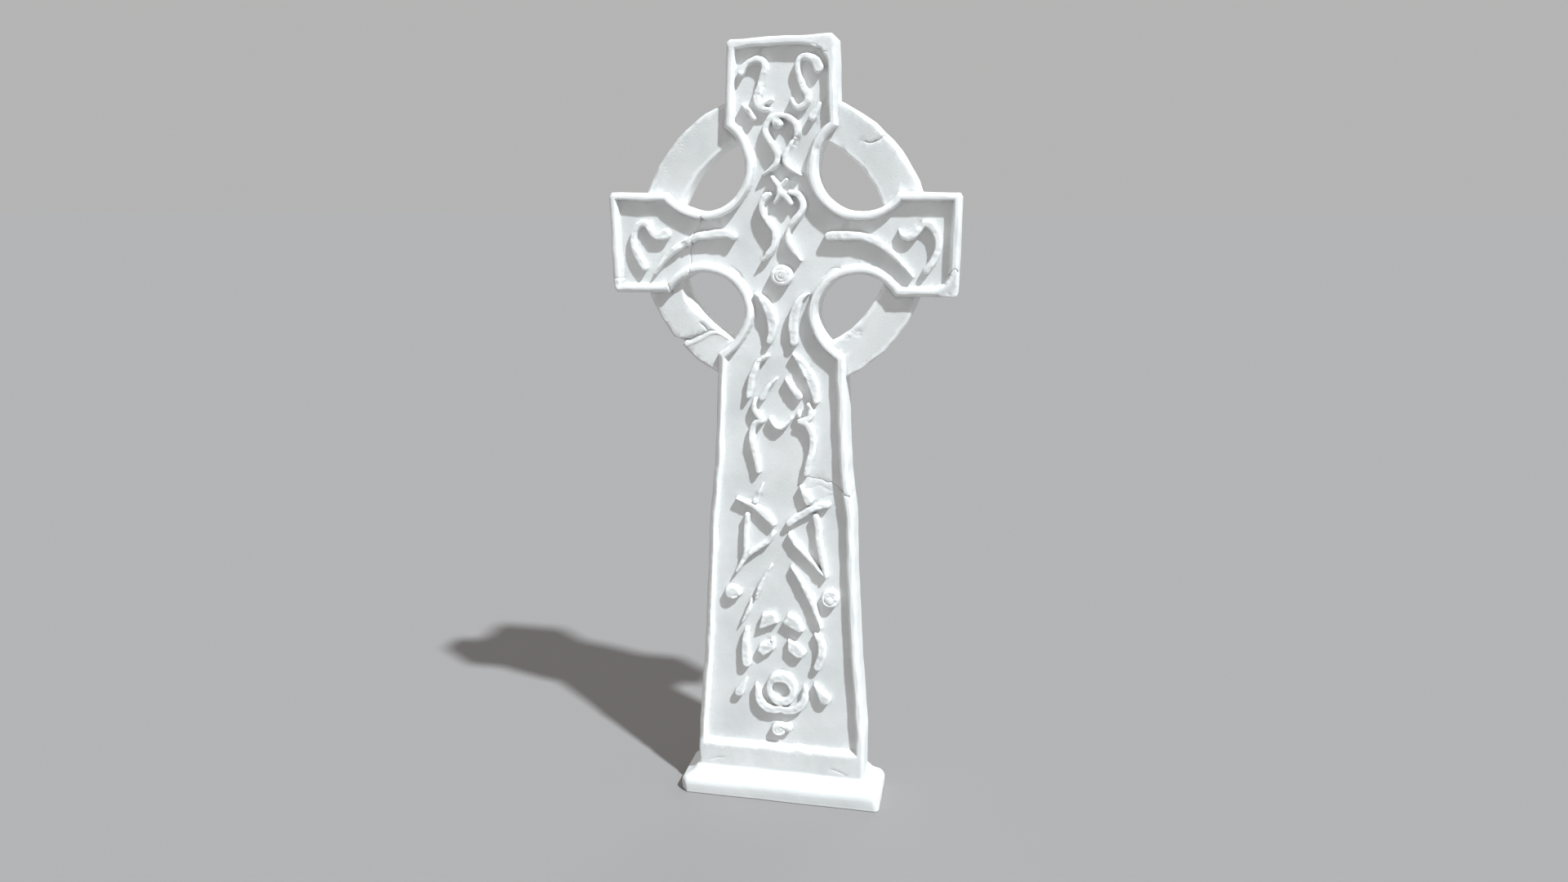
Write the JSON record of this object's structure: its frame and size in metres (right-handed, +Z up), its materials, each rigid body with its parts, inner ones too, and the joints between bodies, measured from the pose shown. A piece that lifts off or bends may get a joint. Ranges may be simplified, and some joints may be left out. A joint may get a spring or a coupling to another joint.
{
  "type": "headstone",
  "caption": "Ringed cross headstone with a tapering shaft, raised rim and interlace carving on the front, standing on a low sloped plinth.",
  "frame": {"origin": "middle of the plinth's underside, on the ground", "axes": "+Z up the shaft, -Y out of the carved front, +X to the right seen from the front"},
  "size_m": [0.6614, 0.128, 1.4998],
  "materials": {
    "carved_stone": "fine pale limestone, carved and rubbed, softly weathered edges",
    "plinth_stone": "fine pale limestone, sawn and rubbed, softly weathered edges"
  },
  "bodies": {
    "root": {"cross": "carved_stone", "plinth": "plinth_stone"}
  },
  "joints": []
}
